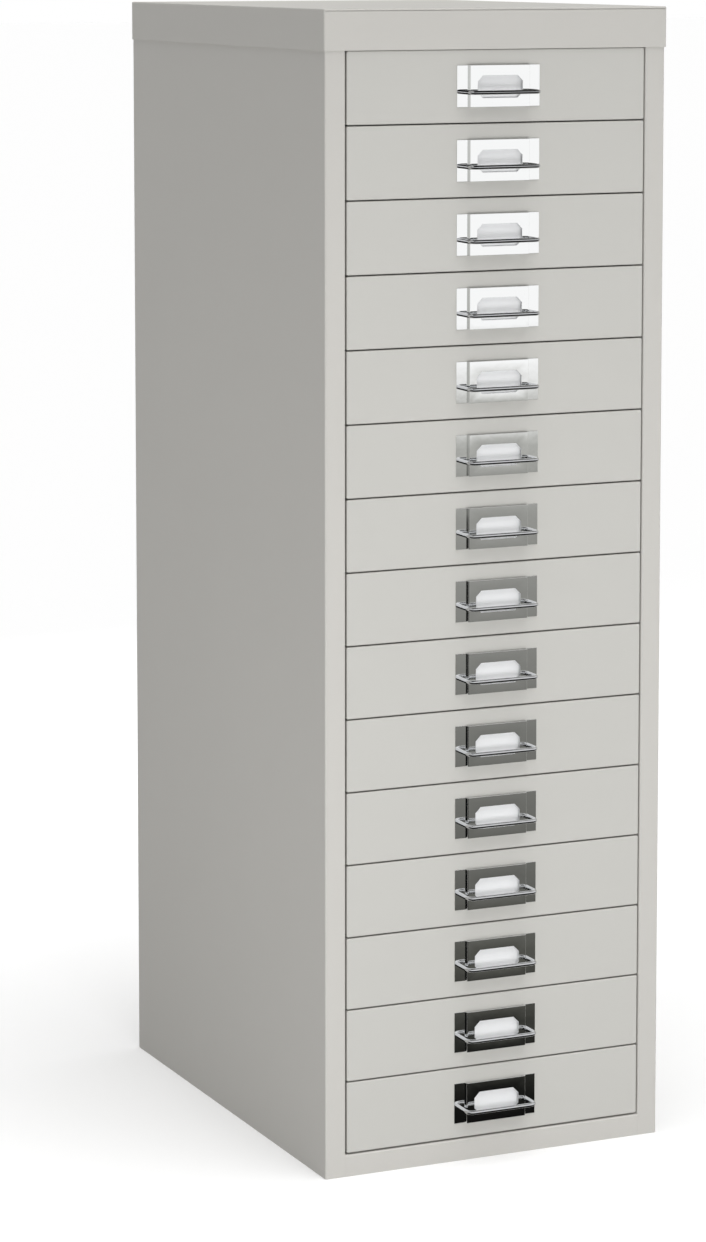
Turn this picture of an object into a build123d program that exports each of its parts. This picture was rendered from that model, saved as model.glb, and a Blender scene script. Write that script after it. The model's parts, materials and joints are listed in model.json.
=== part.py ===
# A tall steel multi-drawer cabinet: fifteen shallow drawers in a folded sheet case.
# Millimetres. +Z is up, the drawers face -Y, and the origin lies on the floor in the
# middle of the whole footprint, pulls included.

from build123d import *

import os

# Driving dimensions of the case
DRAWER_COUNT = 15
CABINET_WIDTH = 279.0
CABINET_DEPTH = 380.0
CAP_HEIGHT = 29.0
CAP_SHEET = 1.0
CASE_SHEET = 1.0
STILE_WIDTH = 16.2
JAMB_DEPTH = 12.0
PLINTH_HEIGHT = 16.5
REAR_FLANGE = 12.0
BASE_FLANGE = 11.0
BASE_FLANGE_GAP = 3.0
FOLD_INNER_RADIUS = 0.4

# Driving dimensions of the posts and runners inside the case
POST_SHEET = 1.2
POST_DEPTH = 25.0
RUNNER_SHEET = 1.0
RUNNER_HEIGHT = 20.0
RUNNER_LEDGE = 11.0
RUNNER_FRONT_GAP = 1.5
STOP_SETBACK = 49.0
STOP_LIFT = 8.0
STOP_HEIGHT = 8.0
STOP_THICKNESS = 1.2
REAR_STOP_WIDTH = 9.0

# Driving dimensions of a drawer
FRONT_HEIGHT = 52.7
FRONT_DEPTH = 12.0
FRONT_RETURN = 8.0
TRAY_SHEET = 0.8
TRAY_LIP = 4.0
REAR_SPACE = 28.0
EAR_LENGTH = 6.0

# Clearances that let a drawer run
FRONT_GAP = 1.5
TRAY_LIFT = 3.0
TRAY_HEADROOM = 1.2
TRAY_SIDE_GAP = 2.8
EAR_CLEARANCE = 0.6
STOP_CLEARANCE = 0.8
RUNNING_CLEARANCE = 0.2
END_CLEARANCE = 0.3

# Driving dimensions of the label plate, its card and the wire pull
PLATE_WIDTH = 67.3
PLATE_HEIGHT = 30.5
PLATE_SHEET = 0.8
PLATE_RISE = 3.0
PLATE_WING = 8.55
PLATE_SLANT = 0.8
WINDOW_WIDTH = 36.6
WINDOW_HEIGHT = 17.2
WINDOW_CORNER = 4.3
WINDOW_DROP = 0.9
CARD_THICKNESS = 1.4
CARD_HEIGHT = 27.5
CARD_SIDE_GAP = 0.5
CARD_LIP_WIDTH = 20.0
CARD_LIP_GAP = 0.3
WIRE_DIAMETER = 3.1
PULL_SPREAD = 55.6
PULL_STANDOFF = 13.3
PULL_DROP = 4.3
PULL_CORNER_RADIUS = 4.5
PULL_HOLE_CLEARANCE = 0.15
PULL_TAIL = 1.4
WASHER_DIAMETER = 8.0
WASHER_THICKNESS = 0.8
WASHER_CLEARANCE = 0.1

# Driving dimensions of the blind rivets that hold the back panel
RIVETS_PER_SIDE = 8
RIVET_END_MARGIN = 45.0
RIVET_DIAMETER = 4.0
RIVET_HEAD_DIAMETER = 6.6
RIVET_HEAD_HEIGHT = 0.9
RIVET_TAIL_DIAMETER = 5.6
RIVET_TAIL_LENGTH = 1.6
RIVET_CLEARANCE = 0.1

# Widths that follow from them
body_half = CABINET_WIDTH / 2 - CAP_SHEET
skin_inner = body_half - CASE_SHEET
opening_half = body_half - STILE_WIDTH
front_half = opening_half - FRONT_GAP
runner_face = opening_half - RUNNER_SHEET
tray_half = runner_face - TRAY_SIDE_GAP
ear_reach = TRAY_SIDE_GAP - EAR_CLEARANCE
stop_reach = TRAY_SIDE_GAP - STOP_CLEARANCE

# Heights that follow from them
drawer_pitch = FRONT_HEIGHT + FRONT_GAP
lowest_front = PLINTH_HEIGHT + FRONT_GAP
cap_bottom = lowest_front + DRAWER_COUNT * drawer_pitch
cabinet_height = cap_bottom + CAP_HEIGHT
body_top = cabinet_height - CAP_SHEET
tray_top = FRONT_HEIGHT - TRAY_HEADROOM
ledge_top = TRAY_LIFT - RUNNING_CLEARANCE
ledge_bottom = ledge_top - RUNNER_SHEET
stop_bottom = ledge_top + STOP_LIFT
pull_height = FRONT_HEIGHT / 2 - PULL_DROP
plate_bottom = (FRONT_HEIGHT - PLATE_HEIGHT) / 2

# Depths that follow from them, with the whole footprint centred on the origin
body_depth = CABINET_DEPTH - 2 * CAP_SHEET
pull_reach = PLATE_SHEET + PULL_STANDOFF + WIRE_DIAMETER / 2
rear_reach = max(CAP_SHEET, RIVET_HEAD_HEIGHT)
front_y = (pull_reach - body_depth - rear_reach) / 2
back_y = front_y + body_depth
case_middle = (front_y + back_y) / 2
back_panel_inner = back_y - CASE_SHEET
flange_inner = back_panel_inner - CASE_SHEET
front_post_front = front_y + JAMB_DEPTH
rear_post_front = flange_inner - POST_DEPTH
tray_front = front_y + FRONT_DEPTH
tray_back = back_y - REAR_SPACE
runner_front = tray_front + RUNNER_FRONT_GAP
stop_front = runner_front + STOP_SETBACK
rear_stop_front = tray_back + END_CLEARANCE
drawer_travel = tray_back - EAR_LENGTH - (stop_front + STOP_THICKNESS) - END_CLEARANCE

# The rivets stand in two columns, one in the middle of each rear flange
rivet_x = skin_inner - REAR_FLANGE / 2
rivet_pitch = (body_top - 2 * RIVET_END_MARGIN) / (RIVETS_PER_SIDE - 1)
rivet_heights = [RIVET_END_MARGIN + rivet_pitch * i for i in range(RIVETS_PER_SIDE)]

os.makedirs("parts", exist_ok=True)


def save(piece, name):
    """Label a finished piece and write it as its own STEP file."""
    piece.part.label = name
    export_step(piece.part, f"parts/{name}.step")


def block(left, right, front, back, bottom, top, mode=Mode.ADD):
    """Add or cut a straight block given by its six faces."""
    with BuildSketch(Plane.XY.offset(bottom)) as footprint:
        with Locations(((left + right) / 2, (front + back) / 2)):
            Rectangle(abs(right - left), back - front)
    extrude(footprint.sketch, amount=top - bottom, mode=mode)


def drill_rivets(columns, front, back):
    """Cut a clearance hole for each rivet through the sheets between two depths."""
    with BuildSketch(Plane.XZ.offset(-front)) as holes:
        with Locations([(x, z) for x in columns for z in rivet_heights]):
            Circle(RIVET_DIAMETER / 2 + RIVET_CLEARANCE)
    extrude(holes.sketch, amount=front - back, mode=Mode.SUBTRACT)


# Side panels, each folded from one sheet with the front stile and two return flanges
for side, name in ((-1, "left_side_panel"), (1, "right_side_panel")):
    with BuildPart() as side_panel:
        block(side * skin_inner, side * body_half, front_y, back_y, 0, body_top)
        block(side * opening_half, side * body_half, front_y, front_y + CASE_SHEET, 0, body_top)
        block(
            side * opening_half,
            side * (opening_half + CASE_SHEET),
            front_y,
            front_y + JAMB_DEPTH,
            CASE_SHEET,
            body_top,
        )
        block(
            side * (skin_inner - REAR_FLANGE),
            side * skin_inner,
            flange_inner,
            back_panel_inner,
            CASE_SHEET,
            body_top,
        )
        front_edges = side_panel.edges().filter_by(Axis.Z).group_by(Axis.Y)[0]
        fold = front_edges.sort_by(Axis.X)[-1 if side > 0 else 0]
        fillet(fold, CASE_SHEET + FOLD_INNER_RADIUS)
        drill_rivets([side * rivet_x], flange_inner, back_panel_inner)
    save(side_panel, name)

# Back panel, a flat sheet between the side panels
with BuildPart() as back_panel:
    block(-skin_inner, skin_inner, back_panel_inner, back_y, 0, body_top)
    drill_rivets([-rivet_x, rivet_x], back_panel_inner, back_y)
save(back_panel, "back_panel")

# Base panel, flat on the floor, with a flange turned up against each side panel
with BuildPart() as base_panel:
    block(-skin_inner, skin_inner, front_y + CASE_SHEET, back_panel_inner, 0, CASE_SHEET)
    for side in (-1, 1):
        block(
            side * (skin_inner - CASE_SHEET),
            side * skin_inner,
            front_post_front + POST_DEPTH + BASE_FLANGE_GAP,
            rear_post_front - BASE_FLANGE_GAP,
            0,
            CASE_SHEET + BASE_FLANGE,
        )
save(base_panel, "base_panel")

# Top cap, a lid whose skirt laps over the outside of the case
with BuildPart() as top_cap:
    with BuildSketch(Plane.XY.offset(cap_bottom)):
        with Locations((0, case_middle)):
            Rectangle(CABINET_WIDTH, CABINET_DEPTH)
    extrude(amount=CAP_HEIGHT)
    upper_edges = top_cap.faces().sort_by(Axis.Z)[-1].edges()
    fillet(upper_edges + top_cap.edges().filter_by(Axis.Z), CAP_SHEET + FOLD_INNER_RADIUS)
    block(-body_half, body_half, front_y, back_y, cap_bottom, body_top, Mode.SUBTRACT)
save(top_cap, "top_cap")


def front_rail(name, web_bottom, web_top, lower_return, outer_fold):
    """Make a channel that joins the two stiles above or below the drawers."""
    upper_return = web_top - CASE_SHEET
    with BuildPart() as rail:
        block(-opening_half, opening_half, front_y, front_y + CASE_SHEET, web_bottom, web_top)
        for level in (lower_return, upper_return):
            rear = front_y + JAMB_DEPTH
            block(-opening_half, opening_half, front_y, rear, level, level + CASE_SHEET)
        level_edges = rail.edges().filter_by(Axis.X).group_by(Axis.Y)[0].sort_by(Axis.Z)
        fillet(level_edges[outer_fold], CASE_SHEET + FOLD_INNER_RADIUS)
    save(rail, name)


# Front rails: the lower one stands on the base panel, the upper one is under the cap.
# Each is rounded at the fold that looks on to the drawers.
front_rail("bottom_front_rail", 0, PLINTH_HEIGHT, CASE_SHEET, -1)
front_rail("top_front_rail", cap_bottom, body_top, cap_bottom, 0)

# Corner posts, channels open towards the side panel that they are welded to
for side, side_name in ((-1, "left"), (1, "right")):
    for post_front, end_name in ((front_post_front, "front"), (rear_post_front, "rear")):
        post_back = post_front + POST_DEPTH
        with BuildPart() as post:
            block(side * opening_half, side * skin_inner, post_front, post_back, CASE_SHEET, body_top)
            block(
                side * (opening_half + POST_SHEET),
                side * skin_inner,
                post_front + POST_SHEET,
                post_back - POST_SHEET,
                CASE_SHEET,
                body_top,
                Mode.SUBTRACT,
            )
            if end_name == "rear":
                drill_rivets([side * rivet_x], post_back - POST_SHEET, post_back)
        save(post, f"{side_name}_{end_name}_post")


def front_bottom(number):
    """Height of the lower edge of a drawer front, counted from the top drawer."""
    return lowest_front + (DRAWER_COUNT - number) * drawer_pitch


# Runners, an angle rail for each drawer on each side, with a lanced tab that stops the
# open drawer and a tab at the rear that stops the closed one
for side, name in ((-1, "left_drawer_runners"), (1, "right_drawer_runners")):
    with BuildPart() as runners:
        for number in range(1, DRAWER_COUNT + 1):
            base = front_bottom(number)
            web_top = base + ledge_bottom + RUNNER_HEIGHT
            block(
                side * runner_face,
                side * opening_half,
                runner_front,
                flange_inner,
                base + ledge_bottom,
                web_top,
            )
            block(
                side * (opening_half - RUNNER_LEDGE),
                side * opening_half,
                runner_front,
                flange_inner,
                base + ledge_bottom,
                base + ledge_top,
            )
            block(
                side * (runner_face - stop_reach),
                side * opening_half,
                stop_front,
                stop_front + STOP_THICKNESS,
                base + stop_bottom,
                base + stop_bottom + STOP_HEIGHT,
            )
            block(
                side * (runner_face - REAR_STOP_WIDTH),
                side * opening_half,
                rear_stop_front,
                rear_stop_front + RUNNER_SHEET,
                base + ledge_bottom,
                web_top,
            )
    save(runners, name)

# Blind rivets through the back panel, the flange of a side panel and the rear post
grip_front = flange_inner - POST_SHEET
head_radius = RIVET_HEAD_DIAMETER / 2
dome_radius = (head_radius**2 + RIVET_HEAD_HEIGHT**2) / (2 * RIVET_HEAD_HEIGHT)
dome_drop = dome_radius - (dome_radius**2 - (head_radius / 2) ** 2) ** 0.5
with BuildPart() as rivet:
    with BuildSketch(Plane.YZ):
        with BuildLine():
            Polyline(
                (back_y + RIVET_HEAD_HEIGHT, 0),
                (grip_front - RIVET_TAIL_LENGTH, 0),
                (grip_front - RIVET_TAIL_LENGTH, RIVET_TAIL_DIAMETER / 2),
                (grip_front, RIVET_TAIL_DIAMETER / 2),
                (grip_front, RIVET_DIAMETER / 2),
                (back_y, RIVET_DIAMETER / 2),
                (back_y, head_radius),
            )
            ThreePointArc(
                (back_y, head_radius),
                (back_y + RIVET_HEAD_HEIGHT - dome_drop, head_radius / 2),
                (back_y + RIVET_HEAD_HEIGHT, 0),
            )
        make_face()
    revolve(axis=Axis.Y)
with BuildPart() as back_panel_rivets:
    with Locations([(side * rivet_x, 0, z) for side in (-1, 1) for z in rivet_heights]):
        add(rivet.part)
save(back_panel_rivets, "back_panel_rivets")

# The drawers are alike, so each of their pieces is made once with the lower edge of the
# drawer front at height zero, and then set in the case at each drawer's height.

# Front, a shallow pan with its edges turned back and in, and a hole for each pull leg
with BuildPart() as drawer_front:
    block(-front_half, front_half, front_y, tray_front, 0, FRONT_HEIGHT)
    face_edges = drawer_front.faces().sort_by(Axis.Y)[0].edges()
    fillet(face_edges, TRAY_SHEET + FOLD_INNER_RADIUS)
    block(
        TRAY_SHEET - front_half,
        front_half - TRAY_SHEET,
        front_y + TRAY_SHEET,
        tray_front - TRAY_SHEET,
        TRAY_SHEET,
        FRONT_HEIGHT - TRAY_SHEET,
        Mode.SUBTRACT,
    )
    block(
        FRONT_RETURN - front_half,
        front_half - FRONT_RETURN,
        tray_front - TRAY_SHEET,
        tray_front,
        FRONT_RETURN,
        FRONT_HEIGHT - FRONT_RETURN,
        Mode.SUBTRACT,
    )
    with BuildSketch(Plane.XZ.offset(-front_y)):
        with Locations((-PULL_SPREAD / 2, pull_height), (PULL_SPREAD / 2, pull_height)):
            Circle(WIRE_DIAMETER / 2 + PULL_HOLE_CLEARANCE)
    extrude(amount=-TRAY_SHEET, mode=Mode.SUBTRACT)

# Tray, an open box with a lip folded in round its top. Its front wall lies on the returns
# of the drawer front, where the two are spot-welded, and an ear on each side at the rear
# meets the stop tab of the runner.
with BuildPart() as tray_box:
    block(-tray_half, tray_half, tray_front, tray_back, TRAY_LIFT, tray_top)
    lower_edges = tray_box.faces().sort_by(Axis.Z)[0].edges().filter_by(Axis.Y)
    fillet(lower_edges, TRAY_SHEET + FOLD_INNER_RADIUS)
    block(
        TRAY_SHEET - tray_half,
        tray_half - TRAY_SHEET,
        tray_front + TRAY_SHEET,
        tray_back - TRAY_SHEET,
        TRAY_LIFT + TRAY_SHEET,
        tray_top - TRAY_SHEET,
        Mode.SUBTRACT,
    )
    block(
        TRAY_LIP - tray_half,
        tray_half - TRAY_LIP,
        tray_front + TRAY_LIP,
        tray_back - TRAY_LIP,
        tray_top - TRAY_SHEET,
        tray_top,
        Mode.SUBTRACT,
    )
    for side in (-1, 1):
        block(
            side * (tray_half - TRAY_SHEET),
            side * (tray_half + ear_reach),
            tray_back - EAR_LENGTH,
            tray_back,
            stop_bottom,
            stop_bottom + STOP_HEIGHT,
        )

# Label plate, a pressed strip whose middle stands off the drawer front and has an
# eight-sided window. A lip at its foot holds the card up.
wing_end = PLATE_WIDTH / 2
rise_foot = wing_end - PLATE_WING
rise_top = rise_foot - PLATE_SLANT
pocket_half = rise_top - PLATE_SHEET
plate_face = front_y - PLATE_SHEET - PLATE_RISE
window_height = FRONT_HEIGHT / 2 - WINDOW_DROP
with BuildPart() as label_plate:
    with BuildSketch(Plane.XY.offset(plate_bottom)):
        with BuildLine():
            Polyline(
                (0, plate_face),
                (rise_top, plate_face),
                (rise_foot, front_y - PLATE_SHEET),
                (wing_end, front_y - PLATE_SHEET),
                (wing_end, front_y),
                (rise_foot - PLATE_SHEET, front_y),
                (pocket_half, front_y - PLATE_RISE),
                (0, front_y - PLATE_RISE),
                close=True,
            )
        make_face()
        mirror(about=Plane.YZ)
    extrude(amount=PLATE_HEIGHT)
    with BuildSketch(Plane.XZ.offset(-plate_face)) as window:
        with Locations((0, window_height)):
            Rectangle(WINDOW_WIDTH, WINDOW_HEIGHT)
        chamfer(window.vertices(), WINDOW_CORNER)
    extrude(amount=-PLATE_SHEET, mode=Mode.SUBTRACT)
    with BuildSketch(Plane.XZ.offset(-front_y)):
        with Locations((-PULL_SPREAD / 2, pull_height), (PULL_SPREAD / 2, pull_height)):
            Circle(WIRE_DIAMETER / 2 + PULL_HOLE_CLEARANCE)
    extrude(amount=PLATE_SHEET, mode=Mode.SUBTRACT)
    block(
        -CARD_LIP_WIDTH / 2,
        CARD_LIP_WIDTH / 2,
        front_y - PLATE_RISE,
        front_y - CARD_LIP_GAP,
        plate_bottom,
        plate_bottom + PLATE_SHEET,
    )

# Wire pull, one bent rod whose two legs pass through the plate and the drawer front
leg_end = front_y + TRAY_SHEET + WASHER_THICKNESS + PULL_TAIL
bar_y = front_y - PLATE_SHEET - PULL_STANDOFF
with BuildPart() as wire_pull:
    with BuildLine(Plane.XY.offset(pull_height)) as route:
        FilletPolyline(
            (-PULL_SPREAD / 2, leg_end),
            (-PULL_SPREAD / 2, bar_y),
            (PULL_SPREAD / 2, bar_y),
            (PULL_SPREAD / 2, leg_end),
            radius=PULL_CORNER_RADIUS,
        )
    with BuildSketch(Plane(origin=(-PULL_SPREAD / 2, leg_end, pull_height), z_dir=(0, -1, 0))):
        Circle(WIRE_DIAMETER / 2)
    sweep(path=route.line)

# Push-on washers behind the drawer front that keep the two legs in
with BuildPart() as leg_washers:
    with BuildSketch(Plane.XZ.offset(-(front_y + TRAY_SHEET))):
        with Locations((-PULL_SPREAD / 2, pull_height), (PULL_SPREAD / 2, pull_height)):
            Circle(WASHER_DIAMETER / 2)
            Circle(WIRE_DIAMETER / 2 + WASHER_CLEARANCE, mode=Mode.SUBTRACT)
    extrude(amount=-WASHER_THICKNESS)

# Card, a white label that stands on the lip of the plate and lies on the drawer front
card_half = pocket_half - CARD_SIDE_GAP
card_bottom = plate_bottom + PLATE_SHEET
with BuildPart() as label_card:
    block(
        -card_half,
        card_half,
        front_y - CARD_THICKNESS,
        front_y,
        card_bottom,
        card_bottom + CARD_HEIGHT,
    )


def place(pieces, number, name):
    """Set copies of the pieces at a drawer's height, as separate solids of one node."""
    height = Location((0, 0, front_bottom(number)))
    node = Compound(label=name, children=[piece.part.moved(height) for piece in pieces])
    export_step(node, f"parts/{name}.step")


for number in range(1, DRAWER_COUNT + 1):
    place([drawer_front, tray_box], number, f"drawer_{number:02d}_tray")
    place([label_plate, wire_pull, leg_washers], number, f"drawer_{number:02d}_pull")
    place([label_card], number, f"drawer_{number:02d}_card")

print(f"Drawer travel {drawer_travel:.2f} mm, overall height {cabinet_height:.2f} mm")
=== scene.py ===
# A tall sheet-steel cabinet with fifteen shallow drawers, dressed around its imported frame.
# Metres. +Z is up and the drawers face -Y.
import json
import math

import bmesh
import bpy
from mathutils import Matrix, Vector

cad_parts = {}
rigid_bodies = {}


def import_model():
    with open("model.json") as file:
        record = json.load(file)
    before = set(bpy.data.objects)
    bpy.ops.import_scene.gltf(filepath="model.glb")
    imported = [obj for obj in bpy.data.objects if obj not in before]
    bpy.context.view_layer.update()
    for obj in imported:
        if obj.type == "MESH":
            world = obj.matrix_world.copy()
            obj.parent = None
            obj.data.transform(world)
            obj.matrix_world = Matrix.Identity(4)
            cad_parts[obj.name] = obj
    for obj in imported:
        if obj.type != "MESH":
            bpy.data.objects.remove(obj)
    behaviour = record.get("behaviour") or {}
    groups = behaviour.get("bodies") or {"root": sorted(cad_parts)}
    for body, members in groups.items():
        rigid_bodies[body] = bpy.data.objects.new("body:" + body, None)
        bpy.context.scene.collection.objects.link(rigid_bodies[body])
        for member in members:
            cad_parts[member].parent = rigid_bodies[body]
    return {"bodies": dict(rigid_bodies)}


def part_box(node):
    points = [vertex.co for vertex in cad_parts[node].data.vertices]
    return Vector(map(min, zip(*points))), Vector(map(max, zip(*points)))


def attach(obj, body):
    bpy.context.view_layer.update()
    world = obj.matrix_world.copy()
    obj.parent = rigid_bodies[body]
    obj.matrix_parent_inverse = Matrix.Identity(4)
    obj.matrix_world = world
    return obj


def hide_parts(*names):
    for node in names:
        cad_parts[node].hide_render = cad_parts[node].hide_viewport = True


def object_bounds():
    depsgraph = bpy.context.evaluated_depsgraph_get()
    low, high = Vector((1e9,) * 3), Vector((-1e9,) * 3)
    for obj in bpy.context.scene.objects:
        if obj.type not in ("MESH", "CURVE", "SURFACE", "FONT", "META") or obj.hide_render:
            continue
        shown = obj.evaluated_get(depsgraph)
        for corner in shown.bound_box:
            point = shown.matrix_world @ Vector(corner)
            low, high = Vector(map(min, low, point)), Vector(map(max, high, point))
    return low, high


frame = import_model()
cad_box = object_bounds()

# Camera. It stands about 2.8 m away, off the cabinet's front left corner and just above the
# height of its top. A long lens, shifted down, keeps the upright edges nearly upright.
PHOTO_WIDTH = 706
PHOTO_HEIGHT = 1242
FOCAL_PIXELS = 3853.2
CENTRE_COLUMN = 353.7
CENTRE_ROW = 348.0
SENSOR_MILLIMETRES = 36.0
CAMERA_PLACE = Vector((-1.26257, -2.70375, 0.90496))
CAMERA_TURN = math.radians(24.45)
CAMERA_TILT = math.radians(-5.964)


def add_object(name, data):
    """Put a camera, a light or a mesh in the scene."""
    item = bpy.data.objects.new(name, data)
    bpy.context.scene.collection.objects.link(item)
    return item


def line_at(turn, tilt):
    """Give the line that is turned right from +Y and tilted up from level."""
    return Vector((
        math.sin(turn) * math.cos(tilt),
        math.cos(turn) * math.cos(tilt),
        math.sin(tilt),
    ))


def point_along(item, line):
    """Point a camera or a light along a line, the right way up."""
    item.rotation_mode = "QUATERNION"
    item.rotation_quaternion = line.to_track_quat("-Z", "Y")


camera_data = bpy.data.cameras.new("camera")
camera_data.sensor_width = SENSOR_MILLIMETRES
camera_data.lens = FOCAL_PIXELS / PHOTO_HEIGHT * SENSOR_MILLIMETRES
camera_data.shift_x = (PHOTO_WIDTH / 2 - CENTRE_COLUMN) / PHOTO_HEIGHT
camera_data.shift_y = (CENTRE_ROW - PHOTO_HEIGHT / 2) / PHOTO_HEIGHT
camera = add_object("camera", camera_data)
camera.location = CAMERA_PLACE
point_along(camera, line_at(CAMERA_TURN, CAMERA_TILT))
bpy.context.scene.camera = camera

# Studio. A white room with a broad soft lamp almost overhead, on the right, and three soft
# fills: low in front, low on the left and behind. The camera sees the room and the floor
# white, with the cabinet's soft shadow, and glossy surfaces mirror a room with darker parts.
ROOM_LIGHT = 0.25
LAMP_LEVEL = 0.70
LAMP_HEIGHT_ANGLE = math.radians(76.5)
LAMP_SIDE_ANGLE = math.radians(20)
LAMP_SPREAD = math.radians(60)
# Each fill has a name, watts, a place, a target, a width and a height.
FILLS = (
    ("front", 12.0, (-0.20, -1.75, 0.25), (0.0, -0.18, 0.35), 0.9, 0.6),
    ("side", 1.0, (-0.89, -0.26, 0.14), (-0.14, -0.08, 0.16), 0.5, 0.2),
    ("rear", 7.0, (-0.25, 1.90, 0.55), (0.0, 0.20, 0.45), 0.9, 0.6),
)
FLAG_DISTANCE = 0.30
FLAG_FOOT = 0.86
FLAG_TOP = 2.60
FLAG_HALF_WIDTH = 0.90
FLAG_BLACK = "#101012"
FLOOR_HALF = 40.0
FLOOR_BOUNCE = 0.58
FLOOR_SHADE = 0.9
FLOOR_GLOW = 0.15
WHITE = "#FFFFFF"
# The room in a mirror, as degrees above the horizon and the colour there: the floor darkens
# steeply, sooner on the left, the walls are white and the ceiling is dark.
ROOM_SEEN = (
    (-90.0, "#080808"),
    (-20.0, "#0E0E0E"),
    (-17.0, "#141413"),
    (-16.3, "#2C2C29"),
    (-15.6, "#42423E"),
    (-14.8, "#555550"),
    (-13.9, "#646460"),
    (-11.8, "#767672"),
    (-9.7, "#8A8A86"),
    (-8.6, "#969692"),
    (-7.8, "#A2A29E"),
    (-7.2, "#B8B8B4"),
    (-6.6, "#E4E4E2"),
    (-5.9, "#FFFFFF"),
    (54.0, "#FFFFFF"),
    (62.0, "#18181B"),
    (90.0, "#141418"),
)
LEFT_SEEN = (
    (-90.0, "#080808"),
    (-12.0, "#101010"),
    (-8.8, "#262624"),
    (-7.9, "#7C7C78"),
    (-7.0, "#B0B0AC"),
    (-2.0, "#D0D0CE"),
    (30.0, "#DCDCDC"),
    (54.0, "#202024"),
    (90.0, "#141418"),
)
LEFT_FROM = -0.62
LEFT_FULL = -0.74
# Everything mirrored from behind the cabinet is greyed by this. Both sets of limits are the
# X or Y that a mirrored ray's direction has where the change begins and where it is full.
REAR_SEEN = "#D0D0CE"
REAR_FROM = 0.25
REAR_FULL = 0.60


def linear(code):
    """Turn a six-figure sRGB colour code into the linear colour that shaders take."""
    shares = [int(code[i : i + 2], 16) / 255 for i in (1, 3, 5)]
    levels = [s / 12.92 if s <= 0.04045 else ((s + 0.055) / 1.055) ** 2.4 for s in shares]
    return (*levels, 1.0)


def set_inputs(tree, node, inputs):
    """Give inputs of a node a value or a link."""
    for key, value in inputs.items():
        if isinstance(value, bpy.types.NodeSocket):
            tree.links.new(value, node.inputs[key])
        else:
            node.inputs[key].default_value = value


def add_node(tree, kind, inputs=None, **settings):
    """Add a node with its settings, and give its inputs a value or a link."""
    node = tree.nodes.new(kind)
    for name, value in settings.items():
        setattr(node, name, value)
    set_inputs(tree, node, inputs or {})
    return node


def bare_tree(holder):
    """Give the node tree of a world or a material, cleared of its nodes."""
    holder.use_nodes = True
    holder.node_tree.nodes.clear()
    return holder.node_tree


def flat_sheet(name, corners, material):
    """Put a flat sheet with four corners in the scene."""
    mesh = bpy.data.meshes.new(name)
    mesh.from_pydata(corners, [], [(0, 1, 2, 3)])
    mesh.materials.append(material)
    return add_object(name, mesh)


world = bpy.data.worlds.new("studio room")
bpy.context.scene.world = world
tree = bare_tree(world)
path = add_node(tree, "ShaderNodeLightPath")
seen = add_node(
    tree,
    "ShaderNodeMath",
    {0: path.outputs["Is Camera Ray"], 1: path.outputs["Is Glossy Ray"]},
    operation="MAXIMUM",
)
seen = add_node(
    tree,
    "ShaderNodeMath",
    {0: seen.outputs[0], 1: path.outputs["Is Transmission Ray"]},
    operation="MAXIMUM",
)
line = add_node(
    tree,
    "ShaderNodeSeparateXYZ",
    {0: add_node(tree, "ShaderNodeTexCoord").outputs["Generated"]},
)
upward = add_node(
    tree,
    "ShaderNodeMapRange",
    {"Value": line.outputs["Z"], "From Min": -1.0, "From Max": 1.0},
)
leftward = add_node(
    tree,
    "ShaderNodeMapRange",
    {"Value": line.outputs["X"], "From Min": LEFT_FROM, "From Max": LEFT_FULL},
)
rearward = add_node(
    tree,
    "ShaderNodeMapRange",
    {"Value": line.outputs["Y"], "From Min": REAR_FROM, "From Max": REAR_FULL},
)
walls = []
for bands in (ROOM_SEEN, LEFT_SEEN):
    ramp = add_node(tree, "ShaderNodeValToRGB", {"Fac": upward.outputs["Result"]})
    stops = ramp.color_ramp.elements
    while len(stops) < len(bands):
        stops.new(1.0)
    for stop, (angle, code) in zip(stops, bands):
        stop.position = (math.sin(math.radians(angle)) + 1) / 2
        stop.color = linear(code)
    walls.append(ramp.outputs["Color"])
mirrored = add_node(
    tree,
    "ShaderNodeMix",
    {0: leftward.outputs["Result"], 6: walls[0], 7: walls[1]},
    data_type="RGBA",
)
mirrored = add_node(
    tree,
    "ShaderNodeMix",
    {0: rearward.outputs["Result"], 6: mirrored.outputs[2], 7: linear(REAR_SEEN)},
    data_type="RGBA",
    blend_type="MULTIPLY",
)
backdrop = add_node(
    tree,
    "ShaderNodeMix",
    {0: path.outputs["Is Glossy Ray"], 6: linear(WHITE), 7: mirrored.outputs[2]},
    data_type="RGBA",
)
room = add_node(tree, "ShaderNodeBackground", {"Color": linear(WHITE), "Strength": ROOM_LIGHT})
backdrop = add_node(
    tree,
    "ShaderNodeBackground",
    {"Color": backdrop.outputs[2], "Strength": 1.0},
)
either = add_node(
    tree,
    "ShaderNodeMixShader",
    {0: seen.outputs[0], 1: room.outputs[0], 2: backdrop.outputs[0]},
)
add_node(tree, "ShaderNodeOutputWorld", {"Surface": either.outputs[0]})

# A sun of strength pi brings a white surface that faces it to full white.
lamp_data = bpy.data.lights.new("soft lamp", "SUN")
lamp_data.energy = LAMP_LEVEL * math.pi
lamp_data.angle = LAMP_SPREAD
lamp = add_object("soft_lamp", lamp_data)
lamp.visible_glossy = False
point_along(lamp, line_at(-LAMP_SIDE_ANGLE, -LAMP_HEIGHT_ANGLE))

for name, power, place, target, width, height in FILLS:
    fill_data = bpy.data.lights.new(f"{name} fill", "AREA")
    fill_data.shape = "RECTANGLE"
    fill_data.size = width
    fill_data.size_y = height
    fill_data.energy = power
    fill = add_object(f"{name}_fill", fill_data)
    fill.visible_glossy = False
    fill.visible_camera = False
    fill.location = place
    point_along(fill, Vector(target) - Vector(place))

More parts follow.
